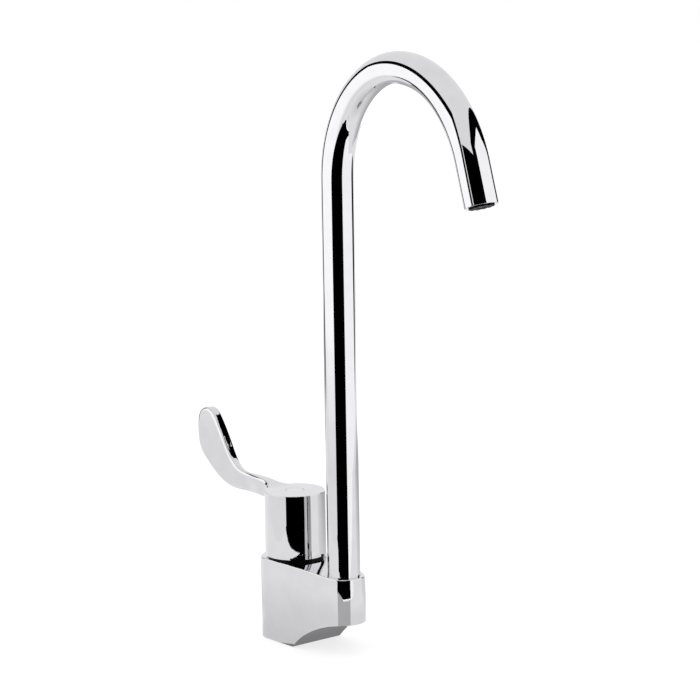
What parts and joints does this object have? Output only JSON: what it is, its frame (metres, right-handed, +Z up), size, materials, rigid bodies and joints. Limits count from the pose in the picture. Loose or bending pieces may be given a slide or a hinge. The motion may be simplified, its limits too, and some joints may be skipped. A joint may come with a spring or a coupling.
{
  "type": "three way filtered water tap",
  "caption": "Chrome kitchen tap with a tall swivel arch spout, one turning lever for mixed or filtered water, and a separate filtered way to the outlet.",
  "frame": {"origin": "centre of the tap hole, on the deck plane under the foot", "axes": "+Z up, -Y to the front over the sink where the nose and the spout stand, +Y back along the lever, +X to the right seen from the front"},
  "size_m": [0.0487, 0.33, 0.4102],
  "materials": {
    "chrome_body": "polished chrome plating on cast brass",
    "chrome_handle": "polished chrome plating on cast metal",
    "chrome_cap": "polished chrome plating",
    "chrome_tube": "polished chrome plating on drawn brass tube",
    "chrome_sleeve": "polished chrome plating on turned brass",
    "plain_brass": "turned, unplated",
    "steel": "plain stainless steel",
    "black_plastic": "smooth moulded, satin",
    "outlet_plastic": "smooth moulded, satin",
    "cartridge_plastic": "glass filled, moulded",
    "white_plastic": "moulded, slightly translucent",
    "disc_ceramic": "lapped alumina",
    "rubber": "black moulded rubber"
  },
  "bodies": {
    "body": {"tap_body": "chrome_body", "deck_seal": "rubber", "cartridge_base": "cartridge_plastic", "filtered_inlet_seal": "rubber", "hot_inlet_seal": "rubber", "cold_inlet_seal": "rubber", "filtered_outlet_seal": "rubber", "disc_seal": "rubber", "fixed_disc": "disc_ceramic", "cartridge_housing": "cartridge_plastic", "cartridge_nut": "plain_brass", "glide_ring": "black_plastic", "thrust_ring": "white_plastic", "spout_grub_screw": "steel"},
    "handle": {"handle": "chrome_handle", "handle_screw": "steel", "index_cap": "chrome_cap", "cartridge_stem": "plain_brass", "stem_seal": "rubber", "disc_carrier": "white_plastic", "moving_disc": "disc_ceramic"},
    "spout": {"spout_tube": "chrome_tube", "spout_tail": "plain_brass", "lower_spout_seal": "rubber", "upper_spout_seal": "rubber", "filter_tube": "white_plastic", "filter_nozzle": "white_plastic", "aerator_sleeve": "chrome_sleeve", "aerator_insert": "outlet_plastic", "aerator_screen": "steel", "aerator_washer": "rubber"}
  },
  "joints": [
    {"name": "handle_turn", "type": "hinge", "parent": "body", "child": "handle", "pos_m": [0, 0, 0.08], "axis": [0, 0, 1], "range_deg": [-90, 90]},
    {"name": "spout_swivel", "type": "hinge", "parent": "body", "child": "spout", "pos_m": [0, -0.0522, 0.045], "axis": [0, 0, 1], "continuous": true}
  ]
}
